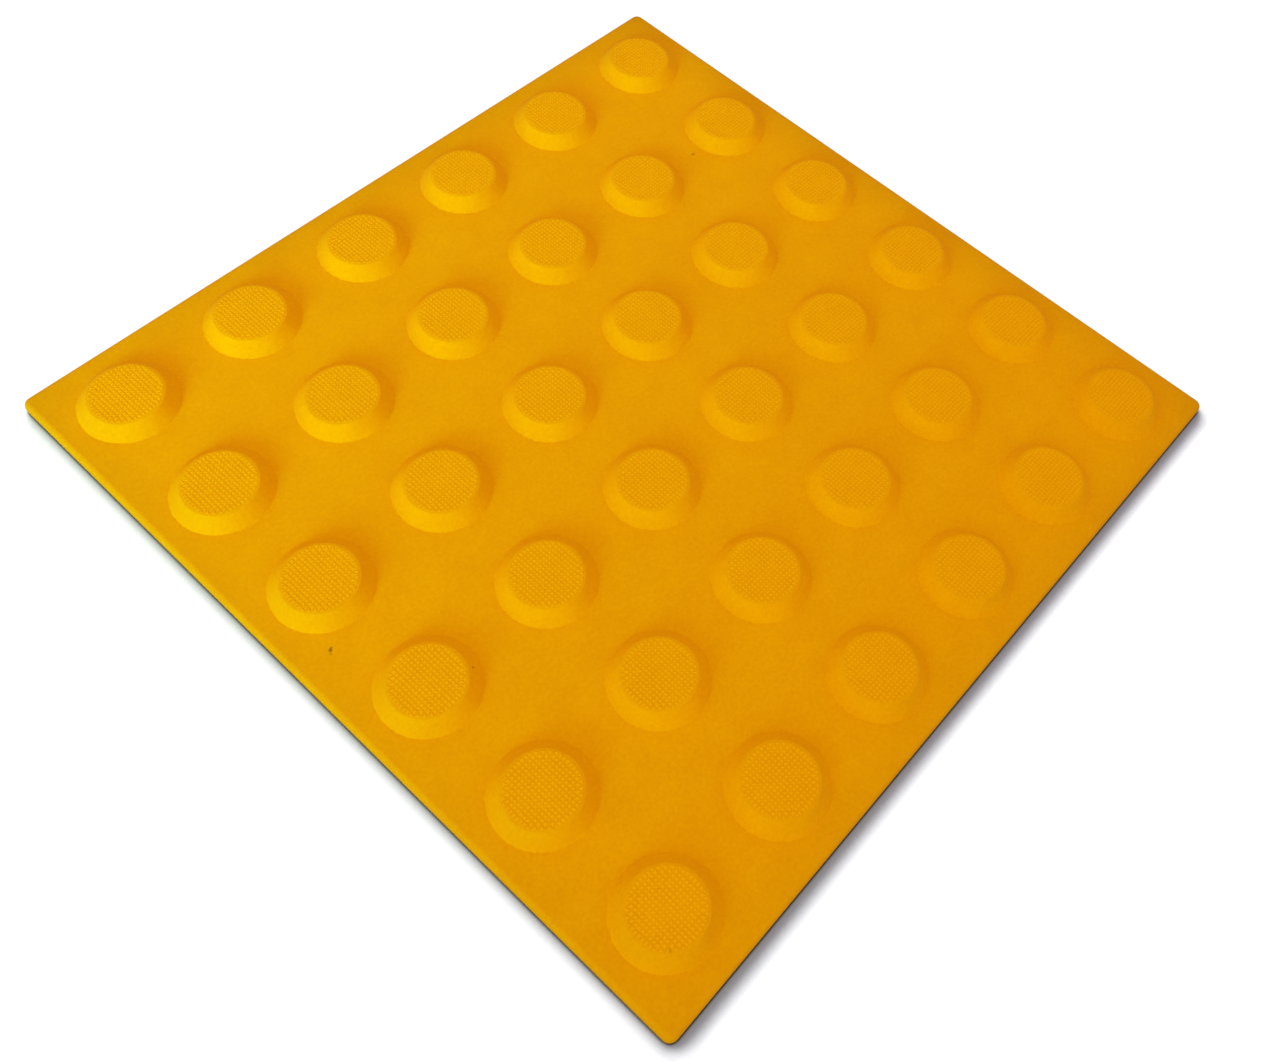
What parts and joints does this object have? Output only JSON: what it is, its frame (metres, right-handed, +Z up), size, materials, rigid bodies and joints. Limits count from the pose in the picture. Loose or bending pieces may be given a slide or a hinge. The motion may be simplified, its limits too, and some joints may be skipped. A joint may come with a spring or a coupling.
{
  "type": "tactile paving slab",
  "caption": "Thin square moulded polymer paving slab with a square field of flat-topped warning domes, rounded edges and a plain flat underside for laying on paving.",
  "frame": {"origin": "middle of the flat underside", "axes": "+X and +Y along the sides, +Z up out of the face with the domes"},
  "size_m": [0.3, 0.3, 0.009],
  "materials": {
    "yellow_polymer": "matte moulded polymer, coloured through, with a fine grain"
  },
  "bodies": {
    "root": {"tactile_slab": "yellow_polymer"}
  },
  "joints": []
}
